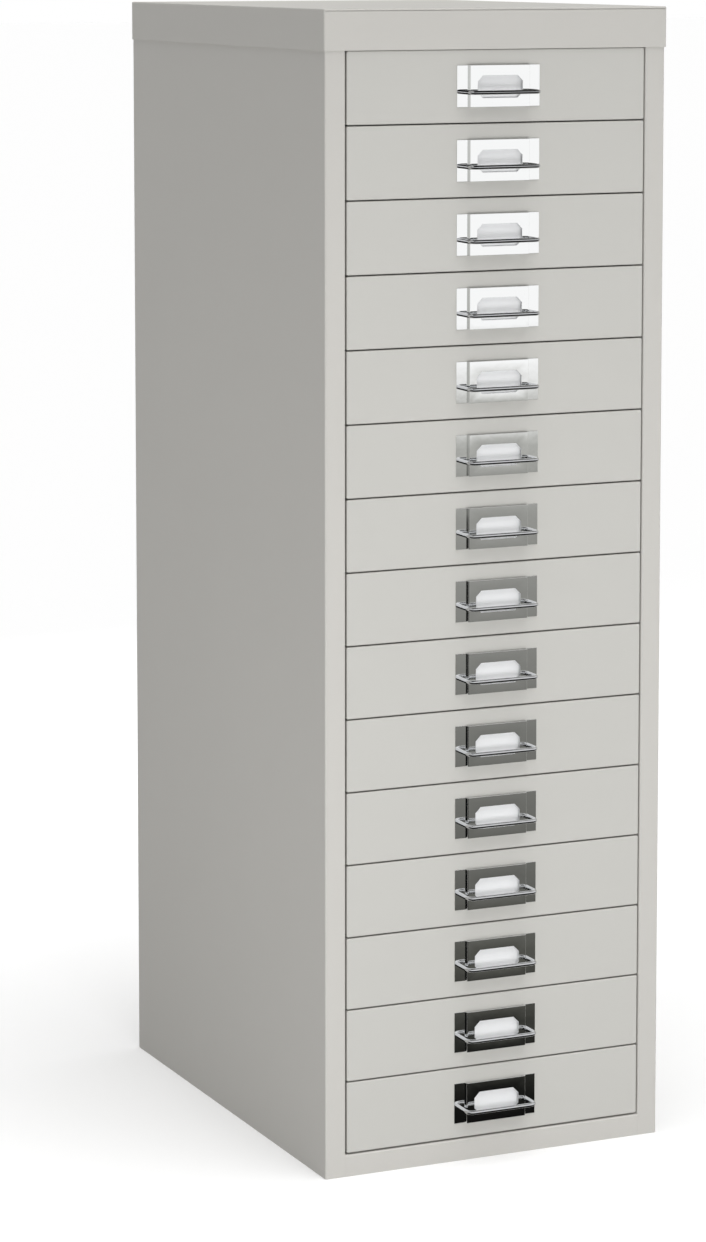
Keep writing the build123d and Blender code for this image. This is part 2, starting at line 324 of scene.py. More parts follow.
# Only glossy surfaces mirror the flag, which hangs in front and above the top drawer.
flag_felt = bpy.data.materials.new("black flag")
tree = bare_tree(flag_felt)
flat_black = add_node(tree, "ShaderNodeBsdfDiffuse", {"Color": linear(FLAG_BLACK)})
add_node(tree, "ShaderNodeOutputMaterial", {"Surface": flat_black.outputs[0]})
ahead = Vector((math.sin(CAMERA_TURN), -math.cos(CAMERA_TURN), 0))
across = Vector((math.cos(CAMERA_TURN), math.sin(CAMERA_TURN), 0)) * FLAG_HALF_WIDTH
flag_middle = Vector((0, cad_box[0][1], 0)) + ahead * FLAG_DISTANCE
corners = [
    flag_middle + across * side + Vector((0, 0, level))
    for side, level in ((-1, FLAG_FOOT), (1, FLAG_FOOT), (1, FLAG_TOP), (-1, FLAG_TOP))
]
flag = flat_sheet("black_flag", corners, flag_felt)
flag.visible_camera = False
flag.visible_diffuse = False
flag.visible_transmission = False
flag.visible_shadow = False

# The camera sees the shown floor, light bounces off a greyer one, and mirrors see neither.
floor_paint = bpy.data.materials.new("studio floor")
tree = bare_tree(floor_paint)
path = add_node(tree, "ShaderNodeLightPath")
bounce = add_node(tree, "ShaderNodeBsdfDiffuse", {"Color": (*[FLOOR_BOUNCE] * 3, 1.0)})
shade = add_node(tree, "ShaderNodeBsdfDiffuse", {"Color": (*[FLOOR_SHADE] * 3, 1.0)})
glow = add_node(tree, "ShaderNodeEmission", {"Strength": FLOOR_GLOW})
shown = add_node(tree, "ShaderNodeAddShader", {0: shade.outputs[0], 1: glow.outputs[0]})
open_floor = add_node(tree, "ShaderNodeBsdfTransparent")
clear = add_node(
    tree,
    "ShaderNodeMath",
    {0: path.outputs["Is Camera Ray"], 1: path.outputs["Is Transmission Ray"]},
    operation="MAXIMUM",
)
direct = add_node(
    tree,
    "ShaderNodeMixShader",
    {0: clear.outputs[0], 1: bounce.outputs[0], 2: shown.outputs[0]},
)
either = add_node(
    tree,
    "ShaderNodeMixShader",
    {0: path.outputs["Is Glossy Ray"], 1: direct.outputs[0], 2: open_floor.outputs[0]},
)
add_node(tree, "ShaderNodeOutputMaterial", {"Surface": either.outputs[0]})
corners = [(x * FLOOR_HALF, y * FLOOR_HALF, 0) for x, y in ((-1, -1), (1, -1), (1, 1), (-1, 1))]
floor = flat_sheet("floor", corners, floor_paint)
bpy.context.scene.view_settings.view_transform = "Standard"

# Side panels. Each is one sheet of 1 mm mild steel, folded at the front into a narrow stile
# with a jamb turned in behind it, and powder-coated. A strip along the rear takes the back.
STEEL_SHEET = 0.001
BEND_RADIUS = 0.0004
BEND_STEPS = 5
EASED_EDGE = 0.00012
BEVEL_ANGLE = math.radians(40)
BEVEL_SEGMENTS = 2
REAR_FLANGE = 0.012
CASE_GREY = "#CDCBC6"
TONE_SHIFT = 0.012
DRIFT_SIZE = 0.09
PEEL_SIZE = 0.0022
PEEL_STRENGTH = 0.25
PEEL_RELIEF = 0.00006
GRIT_SIZE = 0.0006
PAINT_ROUGHNESS = (0.40, 0.52)
PAINT_IOR = 1.5
SIDES = ((-1, "left"), (1, "right"))
# For a shape along each axis: which of (first across, second across, along) is x, y and z.
AXES = {"X": (2, 0, 1), "Y": (0, 2, 1), "Z": (0, 1, 2)}


def new_material(name):
    """Start a material, and give its node tree and its Object coordinates too."""
    material = bpy.data.materials.new(name)
    material.use_nodes = True
    tree = material.node_tree
    return material, tree, add_node(tree, "ShaderNodeTexCoord").outputs["Object"]


def times(colour, share):
    """Darken or lighten a linear colour by a share."""
    return (*[min(c * share, 1.0) for c in colour[:3]], 1.0)


def powder_coat(name, code):
    """Polyester powder coat on steel, sprayed dry and baked.

    It gives an even satin skin whose melted grains leave a fine orange peel. The peel is
    drawn at 2.2 mm, coarser than the real 1 mm, so that it just shows.
    """
    material, tree, place = new_material(name)
    drift = add_node(
        tree,
        "ShaderNodeTexNoise",
        {"Vector": place, "Scale": 1 / DRIFT_SIZE, "Detail": 3.0},
    )
    base = linear(code)
    tone = add_node(
        tree,
        "ShaderNodeMix",
        {
            0: drift.outputs["Fac"],
            6: times(base, 1 - TONE_SHIFT),
            7: times(base, 1 + TONE_SHIFT),
        },
        data_type="RGBA",
    )
    peel = add_node(
        tree,
        "ShaderNodeTexNoise",
        {"Vector": place, "Scale": 1 / PEEL_SIZE, "Detail": 2.0, "Roughness": 0.4},
    )
    grit = add_node(
        tree,
        "ShaderNodeTexNoise",
        {"Vector": place, "Scale": 1 / GRIT_SIZE, "Detail": 1.0},
    )
    low, high = PAINT_ROUGHNESS
    sheen = add_node(
        tree,
        "ShaderNodeMapRange",
        {"Value": grit.outputs["Fac"], "To Min": low, "To Max": high},
    )
    relief = add_node(
        tree,
        "ShaderNodeBump",
        {"Height": peel.outputs["Fac"], "Strength": PEEL_STRENGTH, "Distance": PEEL_RELIEF},
    )
    surface = {
        "Base Color": tone.outputs[2],
        "Roughness": sheen.outputs["Result"],
        "IOR": PAINT_IOR,
        "Normal": relief.outputs["Normal"],
    }
    set_inputs(tree, tree.nodes["Principled BSDF"], surface)
    return material


def add_point(bm, first, second, along, axis):
    """Add a point from its two places across an axis and its place along it."""
    values = (first, second, along)
    return bm.verts.new([values[k] for k in AXES[axis]])


def fold_line(points, sheet, bend):
    """Give the two faces of a sheet folded along an open outline, with rounded bends.

    The outline is the face on the right of the way along it, and the sheet lies on its left.
    """
    near = []
    far = []
    last = len(points) - 1
    for i, point in enumerate(points):
        here = Vector(point)
        before = (here - Vector(points[max(i - 1, 0)])).normalized()
        after = (Vector(points[min(i + 1, last)]) - here).normalized()
        if i in (0, last):
            # The ends are cut square.
            way = after if i == 0 else before
            normal = Vector((-way.y, way.x))
            near.append(here)
            far.append(here + normal * sheet)
            continue
        # A left turn has the far face inside its bend, and a right turn the near one.
        turn = math.copysign(before.angle(after), before.x * after.y - before.y * after.x)
        radius = bend + sheet if turn > 0 else bend
        start = here - before * radius * math.tan(abs(turn) / 2)
        inward = Vector((-before.y, before.x)) * math.copysign(1, turn)
        centre = start + inward * radius
        for step in range(BEND_STEPS + 1):
            angle = turn * step / BEND_STEPS
            normal = Vector((-before.y, before.x))
            normal.rotate(Matrix.Rotation(angle, 2))
            spot = centre - normal * math.copysign(radius, turn)
            near.append(spot)
            far.append(spot + normal * sheet)
    return near, far


def add_fold(bm, points, low, high, axis, sheet=STEEL_SHEET):
    """Add a folded sheet with its outline across the axis and its length along it."""
    lines = fold_line(points, sheet, BEND_RADIUS)
    (near_low, far_low), (near_high, far_high) = [
        [[add_point(bm, *point, level, axis) for point in line] for line in lines]
        for level in (low, high)
    ]
    last = len(near_low) - 1
    for i in range(last):
        bm.faces.new((near_low[i], near_low[i + 1], near_high[i + 1], near_high[i]))
        bm.faces.new((far_low[i], far_high[i], far_high[i + 1], far_low[i + 1]))
        bm.faces.new((near_low[i], far_low[i], far_low[i + 1], near_low[i + 1]))
        bm.faces.new((near_high[i], near_high[i + 1], far_high[i + 1], far_high[i]))
    bm.faces.new((near_low[0], near_high[0], far_high[0], far_low[0]))
    bm.faces.new((near_low[last], far_low[last], far_high[last], near_high[last]))


def to_mesh(bm, name):
    """Turn closed shells into a mesh with its faces outwards."""
    bmesh.ops.recalc_face_normals(bm, faces=bm.faces)
    mesh = bpy.data.meshes.new(name)
    bm.to_mesh(mesh)
    bm.free()
    return mesh


def show_piece(name, mesh, edge=EASED_EDGE):
    """Put a finished mesh in the scene, with its edges eased and its flat faces kept flat.

    An edge of 0 leaves the mesh as sharp as it is.
    """
    mesh.shade_smooth()
    piece = add_object(name, mesh)
    if edge:
        bevel = piece.modifiers.new("eased edges", "BEVEL")
        bevel.width = edge
        bevel.segments = BEVEL_SEGMENTS
        bevel.limit_method = "ANGLE"
        bevel.angle_limit = BEVEL_ANGLE
    piece.modifiers.new("flat faces", "WEIGHTED_NORMAL").keep_sharp = True
    return piece


def make_piece(name, bm, material):
    """Turn closed shells into a piece with smooth bends and slightly eased cut edges."""
    mesh = to_mesh(bm, name)
    mesh.materials.append(material)
    return show_piece(name, mesh)


case_coat = powder_coat("powder-coated case steel", CASE_GREY)
case_low, case_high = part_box("left_side_panel")
front = case_low.y
back = case_high.y
body_half = -case_low.x
body_top = case_high.z
opening_half = -case_high.x
skin_inner = body_half - STEEL_SHEET
jamb_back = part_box("bottom_front_rail")[1].y
flange_back = back - STEEL_SHEET
for side, name in SIDES:
    outline = [
        (side * opening_half, jamb_back),
        (side * opening_half, front),
        (side * body_half, front),
        (side * body_half, back),
    ]
    strip = [
        (side * skin_inner, flange_back),
        (side * (skin_inner - REAR_FLANGE), flange_back),
    ]
    bm = bmesh.new()
    add_fold(bm, outline[::side], 0, body_top, "Z")
    add_fold(bm, strip[::side], STEEL_SHEET, body_top, "Z")
    panel = make_piece(f"{name}_side", bm, case_coat)
    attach(panel, "cabinet")
    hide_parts(f"{name}_side_panel")

# Back and base. The back is a flat sheet let in between the sides and riveted to their
# strips. The base is a sheet on the floor with a flange turned up against each side, between
# the corner posts.
FLANGE_CLEARANCE = 0.003

bm = bmesh.new()
add_fold(bm, [(-skin_inner, flange_back), (skin_inner, flange_back)], 0, body_top, "Z")
back_sheet = make_piece("back_sheet", bm, case_coat)
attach(back_sheet, "cabinet")
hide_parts("back_panel")

base_low, base_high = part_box("base_panel")
flange_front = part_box("left_front_post")[1].y + FLANGE_CLEARANCE
flange_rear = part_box("left_rear_post")[0].y - FLANGE_CLEARANCE
bm = bmesh.new()
add_fold(bm, [(-skin_inner, 0), (skin_inner, 0)], base_low.y, base_high.y, "Y")
for side in (-1, 1):
    flange = [(side * skin_inner, STEEL_SHEET), (side * skin_inner, base_high.z)]
    add_fold(bm, flange[::side], flange_front, flange_rear, "Y")
base_sheet = make_piece("base_sheet", bm, case_coat)
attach(base_sheet, "cabinet")
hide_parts("base_panel")

# Front rails. Two channels of the same sheet, one under the lowest drawer and one behind the
# skirt of the cap, each folded next to the drawers and closed by a welded strip. Welds join
# them to the rounded stiles and are ground flush, so no joint shows under the paint.
stile_round = STEEL_SHEET + BEND_RADIUS
for name, way in (("bottom", 1), ("top", -1)):
    low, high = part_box(f"{name}_front_rail")
    fold_level, cut_level = (low.z, high.z)[::-way]
    strip_level = cut_level + way * STEEL_SHEET
    web = [(jamb_back, fold_level), (front, fold_level), (front, cut_level)]
    strip = [(front + STEEL_SHEET, strip_level), (jamb_back, strip_level)]
    bm = bmesh.new()
    add_fold(bm, web[::way], -opening_half, opening_half, "X")
    add_fold(bm, strip, -opening_half, opening_half, "X")
    for side in (-1, 1):
        weld = [(side * opening_half, front), (side * (opening_half + stile_round), front)]
        add_fold(bm, weld[::side], low.z, high.z, "Z", stile_round)
    rail = make_piece(f"{name}_rail", bm, case_coat)
    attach(rail, "cabinet")
    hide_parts(f"{name}_front_rail")

# Top cap. A lid pressed from one sheet, with a skirt on all four sides that laps over the
# case. Its corners are welded and ground round before the paint, and a fine seam shows under
# the front edge.
CORNER_STEPS = 6
CAP_FLAT_INSET = 0.02
CAP_CORNER = STEEL_SHEET + BEND_RADIUS
CAP_BEND = 0.0001
# The skirt is drawn deeper than its solid, so that the gap under it is as fine as in the photo.
SKIRT_GROWTH = 0.0011
SEAM_LEVEL = 0.0014
SEAM_HEIGHT = 0.0005
SEAM_DEPTH = 0.0009


def rounded_ring(bm, centre, half_u, half_v, radius, level, axis):
    """Add the corner-rounded outline of a rectangle that lies across the axis."""
    ring = []
    for quarter, (side_u, side_v) in enumerate(((1, 1), (-1, 1), (-1, -1), (1, -1))):
        for step in range(CORNER_STEPS + 1):
            angle = math.pi / 2 * (quarter + step / CORNER_STEPS)
            u = centre[0] + side_u * (half_u - radius) + radius * math.cos(angle)
            v = centre[1] + side_v * (half_v - radius) + radius * math.sin(angle)
            ring.append(add_point(bm, u, v, level, axis))
    return ring


def join_rings(bm, first, second):
    """Add the faces between two rings that have the same number of points."""
    for i in range(len(first)):
        j = (i + 1) % len(first)
        bm.faces.new((first[i], first[j], second[j], second[i]))


def add_pan(bm, profile, sheet, bend, centre, half_u, half_v, corner, axis):
    """Add a folded pan whose walls follow a profile of (inset, level), rim first, floor last.

    The rectangle of the pan lies across the axis, and the sheet lies inside the profile.
    """
    rising = -1 if profile[-1][1] > profile[0][1] else 1
    faces = []
    for line in fold_line([(rising * inset, level) for inset, level in profile], sheet, bend):
        rings = []
        for point in line:
            inset = rising * point.x
            radius = max(corner - inset, BEND_RADIUS)
            spread = (half_u - inset, half_v - inset)
            rings.append(rounded_ring(bm, centre, *spread, radius, point.y, axis))
        for first, second in zip(rings, rings[1:]):
            join_rings(bm, first, second)
        bm.faces.new(rings[-1])
        faces.append(rings)
    join_rings(bm, faces[0][0], faces[1][0])


cap_low, cap_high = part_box("top_cap")
cap_middle = (cap_low + cap_high) / 2
cap_half = (cap_high - cap_low) / 2
skirt_foot = cap_low.z - SKIRT_GROWTH
lid = [(0, skirt_foot), (0, cap_high.z), (CAP_FLAT_INSET, cap_high.z)]
bm = bmesh.new()
add_pan(bm, lid, STEEL_SHEET, CAP_BEND, cap_middle[:2], cap_half.x, cap_half.y, CAP_CORNER, "Z")
# Two level cuts give the seam its edges, and the strip of the front between them is sunk.
seam_top = cap_high.z - SEAM_LEVEL
for level in (seam_top, seam_top - SEAM_HEIGHT):
    parts = bm.verts[:] + bm.edges[:] + bm.faces[:]
    bmesh.ops.bisect_plane(bm, geom=parts, plane_co=(0, 0, level), plane_no=(0, 0, 1))
seam = []
for face in bm.faces:
    middle = face.calc_center_median()
    if middle.y < cap_low.y + EASED_EDGE and seam_top - SEAM_HEIGHT < middle.z < seam_top:
        seam.append(face)
sunk = bmesh.ops.extrude_face_region(bm, geom=seam)["geom"]
sunk = [item for item in sunk if isinstance(item, bmesh.types.BMVert)]
bmesh.ops.translate(bm, verts=sunk, vec=(0, SEAM_DEPTH, 0))
bmesh.ops.delete(bm, geom=seam, context="FACES")
cap = make_piece("cap", bm, case_coat)
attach(cap, "cabinet")
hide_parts("top_cap")

# Corner posts. Four channels of 1.2 mm steel stand behind the stiles and against the back,
# open towards the side that they are welded to. They stiffen the case and carry the runners.
POST_SHEET = 0.0012

for side, side_name in SIDES:
    for end_name in ("front", "rear"):
        node = f"{side_name}_{end_name}_post"
        low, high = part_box(node)
        channel = [
            (side * skin_inner, high.y),
            (side * opening_half, high.y),
            (side * opening_half, low.y),
            (side * skin_inner, low.y),
        ]
        bm = bmesh.new()
        add_fold(bm, channel[::side], low.z, high.z, "Z", POST_SHEET)
        post = make_piece(f"{side_name}_{end_name}_channel", bm, case_coat)
        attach(post, "cabinet")
        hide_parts(node)

# Runners. Thirty angle rails of bare galvanised sheet, one on each side of each drawer,
# spot-welded to the posts. Each has a ledge that the tray slides on, a tab that stops the
# open drawer and an end turned in that stops the closed one.
RUNNER_HEIGHT = 0.020
STOP_SETBACK = 0.049
STOP_DEPTH = 0.0012
STOP_LIFT = 0.009
STOP_HEIGHT = 0.008
STOP_REACH = 0.002
END_REACH = 0.009
END_GAP = 0.0003
WELD_RADIUS = 0.0025
WELD_RISE = 0.00012
WELD_STEPS = 16
# The print of a spot weld, as shares of its radius and of its rise.
WELD_PRINT = ((0, 0.3), (0.7, 0.4), (0.85, 1), (1, 0), (0, -1))
ZINC_DARK = "#9EA3A6"
ZINC_LIGHT = "#BFC3C5"
ZINC_ROUGHNESS = (0.34, 0.50)
SPANGLE_SIZE = 0.009
SPANGLE_WARP = SPANGLE_SIZE / 3
WARP_SIZE = SPANGLE_SIZE / 2


def galvanised_steel():
    """Hot-dip galvanised steel sheet, with no paint.

    The zinc froze in flat crystals, so it shows a patchwork of duller and brighter grey
    flakes about 9 mm across, each with its own gloss.
    """
    material, tree, place = new_material("hot-dip galvanised steel")
    warp = add_node(
        tree,
        "ShaderNodeTexNoise",
        {"Vector": place, "Scale": 1 / WARP_SIZE, "Detail": 2.0},
    )
    shifted = add_node(
        tree,
        "ShaderNodeVectorMath",
        {0: warp.outputs["Color"], 1: (SPANGLE_WARP,) * 3, 2: place},
        operation="MULTIPLY_ADD",
    )
    flakes = add_node(
        tree,
        "ShaderNodeTexVoronoi",
        {"Vector": shifted.outputs[0], "Scale": 1 / SPANGLE_SIZE},
    )
    tint = add_node(tree, "ShaderNodeSeparateColor", {0: flakes.outputs["Color"]})
    tone = add_node(
        tree,
        "ShaderNodeMix",
        {0: tint.outputs[0], 6: linear(ZINC_DARK), 7: linear(ZINC_LIGHT)},
        data_type="RGBA",
    )
    low, high = ZINC_ROUGHNESS
    gloss = add_node(
        tree,
        "ShaderNodeMapRange",
        {"Value": tint.outputs[1], "To Min": low, "To Max": high},
    )
    surface = {
        "Base Color": tone.outputs[2],
        "Metallic": 1.0,
        "Roughness": gloss.outputs["Result"],
    }
    set_inputs(tree, tree.nodes["Principled BSDF"], surface)
    return material


def new_geometry_tree(name, inputs, output):
    """Start a geometry tree with named inputs and a geometry output, and give its inputs."""
    tree = bpy.data.node_groups.new(name, "GeometryNodeTree")
    for label, kind in inputs.items():
        tree.interface.new_socket(label, in_out="INPUT", socket_type=f"NodeSocket{kind}")
    tree.interface.new_socket(output, in_out="OUTPUT", socket_type="NodeSocketGeometry")
    return tree, add_node(tree, "NodeGroupInput").outputs


def row_tree():
    """Repeat a piece along a straight row at an even step."""
    inputs = {"Piece": "Geometry", "Count": "Int", "Step": "Vector", "Finish": "Material"}
    tree, given = new_geometry_tree("pieces in a row", inputs, "Row")
    places = add_node(
        tree,
        "GeometryNodeMeshLine",
        {"Count": given["Count"], "Offset": given["Step"]},
    )
    copies = add_node(
        tree,
        "GeometryNodeInstanceOnPoints",
        {"Points": places.outputs["Mesh"], "Instance": given["Piece"]},
    )
    solid = add_node(tree, "GeometryNodeRealizeInstances", {0: copies.outputs["Instances"]})
    coated = add_node(
        tree,
        "GeometryNodeSetMaterial",
        {"Geometry": solid.outputs[0], "Material": given["Finish"]},
    )
    add_node(tree, "NodeGroupOutput", {"Row": coated.outputs[0]})
    return tree


def grow(mesh, tree, values):
    """Run a geometry tree on a mesh with the named inputs, and give the plain mesh."""
    holder = add_object(mesh.name, mesh)
    modifier = holder.modifiers.new(tree.name, "NODES")
    modifier.node_group = tree
    for socket in tree.interface.items_tree:
        if socket.name in values:
            modifier[socket.identifier] = values[socket.name]
    graph = bpy.context.evaluated_depsgraph_get()
    plain = bpy.data.meshes.new_from_object(holder.evaluated_get(graph), depsgraph=graph)
    bpy.data.objects.remove(holder)
    return plain


def add_turned(bm, profile, centre, axis, steps, closed=False):
    """Add a shape turned about an axis through the centre, from points of (radius, level)."""
    rings = []
    for radius, level in profile:
        ring = []
        # A radius of 0 is one point on the axis, which closes the shape.
        for step in range(steps if radius else 1):
            angle = 2 * math.pi * step / steps
            u = centre[0] + radius * math.cos(angle)
            v = centre[1] + radius * math.sin(angle)
            ring.append(add_point(bm, u, v, level, axis))
        rings.append(ring)
    pairs = list(zip(rings, rings[1:]))
    if closed:
        pairs.append((rings[-1], rings[0]))
    for first, second in pairs:
        for i in range(steps):
            j = (i + 1) % steps
            corners = (first[i % len(first)], first[j % len(first)])
            corners += (second[j % len(second)], second[i % len(second)])
            bm.faces.new(list(dict.fromkeys(corners)))


def add_weld(bm, centre, level, rise, axis):
    """Add the shallow ring-shaped print that a spot weld leaves on a sheet."""
    profile = [(WELD_RADIUS * out, level + rise * up) for out, up in WELD_PRINT]
    add_turned(bm, profile, centre, axis, WELD_STEPS)


drawers = sorted(body for body in frame["bodies"] if body.startswith("drawer_"))
drawer_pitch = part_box(f"{drawers[0]}_tray")[0].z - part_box(f"{drawers[1]}_tray")[0].z
tray_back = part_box(f"{drawers[0]}_tray")[1].y
runner_face = opening_half - STEEL_SHEET
post_middles = [sum(c.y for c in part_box(f"left_{end}_post")) / 2 for end in ("front", "rear")]
in_a_row = row_tree()
zinc = galvanised_steel()
for side, side_name in SIDES:
    node = f"{side_name}_drawer_runners"
    low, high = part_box(node)
    ledge_width = high.x - low.x
    angle = [
        (side * (opening_half - ledge_width), low.z),
        (side * opening_half, low.z),
        (side * opening_half, low.z + RUNNER_HEIGHT),
    ]
    bm = bmesh.new()
    add_fold(bm, angle[::side], low.y, high.y, "Y")
    stop_front = low.y + STOP_SETBACK
    tab = [(side * (runner_face - STOP_REACH), stop_front), (side * runner_face, stop_front)]
    stop_foot = low.z + STOP_LIFT
    add_fold(bm, tab[::side], stop_foot, stop_foot + STOP_HEIGHT, "Z", STOP_DEPTH)
    end_front = tray_back + END_GAP
    end = [(side * (runner_face - END_REACH), end_front), (side * runner_face, end_front)]
    add_fold(bm, end[::side], low.z + STEEL_SHEET, low.z + RUNNER_HEIGHT, "Z")
    for middle in post_middles:
        spot = (middle, low.z + RUNNER_HEIGHT / 2)
        add_weld(bm, spot, side * runner_face, -side * WELD_RISE, "X")
    runner = to_mesh(bm, "one runner")
    values = {"Count": len(drawers), "Step": (0, 0, drawer_pitch), "Finish": zinc}
    runners = show_piece(f"{side_name}_runners", grow(runner, in_a_row, values))
    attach(runners, "cabinet")
    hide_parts(node)

# Back rivets. Sixteen domed aluminium blind rivets, eight down each side, hold the back to
# the strips and the rear posts. Each shows the broken mandrel in the middle of its dome.
RIVETS_PER_SIDE = 8
RIVET_HEAD = 0.0033
RIVET_SHANK = 0.0020
RIVET_TAIL = 0.0028
RIVET_TAPER = 0.8
MANDREL = 0.0011
MANDREL_BREAK = 0.85
MANDREL_DROP = 0.0003
DOME_STEPS = 6
DOME_POWER = 0.7
RIVET_STEPS = 28
ALUMINIUM = "#D3D4D5"
ALUMINIUM_ROUGHNESS = (0.26, 0.46)
SCUFF_SIZE = 0.0008
SCUFF_STRENGTH = 0.2
SCUFF_RELIEF = 0.00003


def rivet_aluminium():
    """Plain aluminium alloy, cold-headed and tumbled.

    It is a soft, pale grey metal whose tumbling left fine dull scuffs.
    """
    material, tree, place = new_material("tumbled aluminium alloy")
    scuffs = add_node(
        tree,
        "ShaderNodeTexNoise",
        {"Vector": place, "Scale": 1 / SCUFF_SIZE, "Detail": 3.0},
    )
    low, high = ALUMINIUM_ROUGHNESS
    gloss = add_node(
        tree,
        "ShaderNodeMapRange",
        {"Value": scuffs.outputs["Fac"], "To Min": low, "To Max": high},
    )
    relief = add_node(
        tree,
        "ShaderNodeBump",
        {"Height": scuffs.outputs["Fac"], "Strength": SCUFF_STRENGTH, "Distance": SCUFF_RELIEF},
    )
    surface = {
        "Base Color": linear(ALUMINIUM),
        "Metallic": 1.0,
        "Roughness": gloss.outputs["Result"],
        "Normal": relief.outputs["Normal"],
    }
    set_inputs(tree, tree.nodes["Principled BSDF"], surface)
    return material


low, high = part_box("back_panel_rivets")
dome_height = high.y - back
grip = flange_back - STEEL_SHEET - POST_SHEET
profile = [(0, high.y - MANDREL_DROP), (MANDREL * MANDREL_BREAK, high.y - MANDREL_DROP)]
for step in range(DOME_STEPS + 1):
    share = step / DOME_STEPS
    radius = MANDREL + (RIVET_HEAD - MANDREL) * share
    profile.append((radius, back + dome_height * math.cos(math.pi / 2 * share) ** DOME_POWER))
profile += [
    (RIVET_SHANK, back),
    (RIVET_SHANK, grip),
    (RIVET_TAIL, grip),
    (RIVET_TAIL * RIVET_TAPER, low.y),
    (0, low.y),
]
bm = bmesh.new()
for x in (low.x + RIVET_HEAD, high.x - RIVET_HEAD):
    add_turned(bm, profile, (x, low.z + RIVET_HEAD), "Y", RIVET_STEPS)
pair = to_mesh(bm, "pair of rivets")
rivet_pitch = (high.z - low.z - 2 * RIVET_HEAD) / (RIVETS_PER_SIDE - 1)
values = {"Count": RIVETS_PER_SIDE, "Step": (0, 0, rivet_pitch), "Finish": rivet_aluminium()}
rivets = show_piece("back_rivets", grow(pair, in_a_row, values), edge=0)
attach(rivets, "cabinet")
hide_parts("back_panel_rivets")

# Drawer fronts and trays. Each front is a shallow pan pressed from 0.8 mm sheet, its edges
# turned back and in. The tray spot-welded behind it is an open box of the same sheet, with a
# lip folded in round its top and an ear for the stop on each side. Both are powder-coated.
TRAY_SHEET = 0.0008
FRONT_DEPTH = 0.012
# A front is drawn larger than its solid, so that the gaps are as fine as in the photo.
FRONT_GROWTH_ACROSS = 0.0004
FRONT_GROWTH_UP = 0.00025
FRONT_BEND = 0.0001
FRONT_RETURN = 0.008
FRONT_CORNER = 0.0012
FLAT_INSET = 0.012
TRAY_LIFT = 0.003
TRAY_HEADROOM = 0.0012
TRAY_SIDE_GAP = 0.0028
TRAY_LIP = 0.004
EAR_LENGTH = 0.006
EAR_CLEARANCE = 0.0006
WELD_COUNT = 5
WELD_STEP = 0.045
WELD_ROW_INSET = 0.0064
DRAWER_GREY = "#CAC9C4"

drawer_coat = powder_coat("powder-coated drawer steel", DRAWER_GREY)
front_low, front_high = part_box(f"{drawers[-1]}_tray")
front_half = (front_high.x - front_low.x) / 2
front_height = front_high.z - front_low.z
front_centre = (0, front_low.z + front_height / 2)
pan_back = front + FRONT_DEPTH
pan = [(FRONT_RETURN, pan_back), (0, pan_back), (0, front), (FLAT_INSET, front)]
pan_half = (front_half + FRONT_GROWTH_ACROSS, front_height / 2 + FRONT_GROWTH_UP)
bm = bmesh.new()
add_pan(bm, pan, TRAY_SHEET, FRONT_BEND, front_centre, *pan_half, FRONT_CORNER, "Y")
front_mesh = to_mesh(bm, "drawer front")

tray_half = runner_face - TRAY_SIDE_GAP
tray_foot = front_low.z + TRAY_LIFT
tray_top = front_high.z - TRAY_HEADROOM
tray_centre = (0, (pan_back + tray_back) / 2)
box = [(TRAY_LIP, tray_top), (0, tray_top), (0, tray_foot), (FLAT_INSET, tray_foot)]
tray_size = (tray_half, (tray_back - pan_back) / 2, FRONT_CORNER)
bm = bmesh.new()
add_pan(bm, box, TRAY_SHEET, BEND_RADIUS, tray_centre, *tray_size, "Z")
for side in (-1, 1):
    ear = [
        (side * (tray_half - TRAY_SHEET), tray_back - EAR_LENGTH),
        (side * (tray_half + TRAY_SIDE_GAP - EAR_CLEARANCE), tray_back - EAR_LENGTH),
        (side * (tray_half + TRAY_SIDE_GAP - EAR_CLEARANCE), tray_back),
    ]
    add_fold(bm, ear[::side], stop_foot, stop_foot + STOP_HEIGHT, "Z", TRAY_SHEET)
tray_mesh = to_mesh(bm, "drawer tray")

bm = bmesh.new()
first_weld = -WELD_STEP * (WELD_COUNT - 1) / 2
for level in (front_low.z + WELD_ROW_INSET, front_high.z - WELD_ROW_INSET):
    add_weld(bm, (first_weld, level), pan_back + TRAY_SHEET, WELD_RISE, "Y")
weld_pair = to_mesh(bm, "pair of weld prints")
values = {"Count": WELD_COUNT, "Step": (WELD_STEP, 0, 0), "Finish": drawer_coat}
weld_mesh = grow(weld_pair, in_a_row, values)


def set_in_drawer(mesh, name, number, material, edge=EASED_EDGE):
    """Show a copy of a mesh made for the lowest drawer at the height of another drawer."""
    copy = mesh.copy()
    copy.name = name
    copy.transform(Matrix.Translation((0, 0, number * drawer_pitch)))
    copy.materials.clear()
    copy.materials.append(material)
    return show_piece(name, copy, edge)


for number, drawer in enumerate(reversed(drawers)):
    for mesh, part, edge in (
        (front_mesh, "front", EASED_EDGE),
        (tray_mesh, "box", EASED_EDGE),
        (weld_mesh, "weld_prints", 0),
    ):
        piece = set_in_drawer(mesh, f"{drawer}_{part}", number, drawer_coat, edge)
        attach(piece, drawer)
        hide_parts(f"{drawer}_tray")

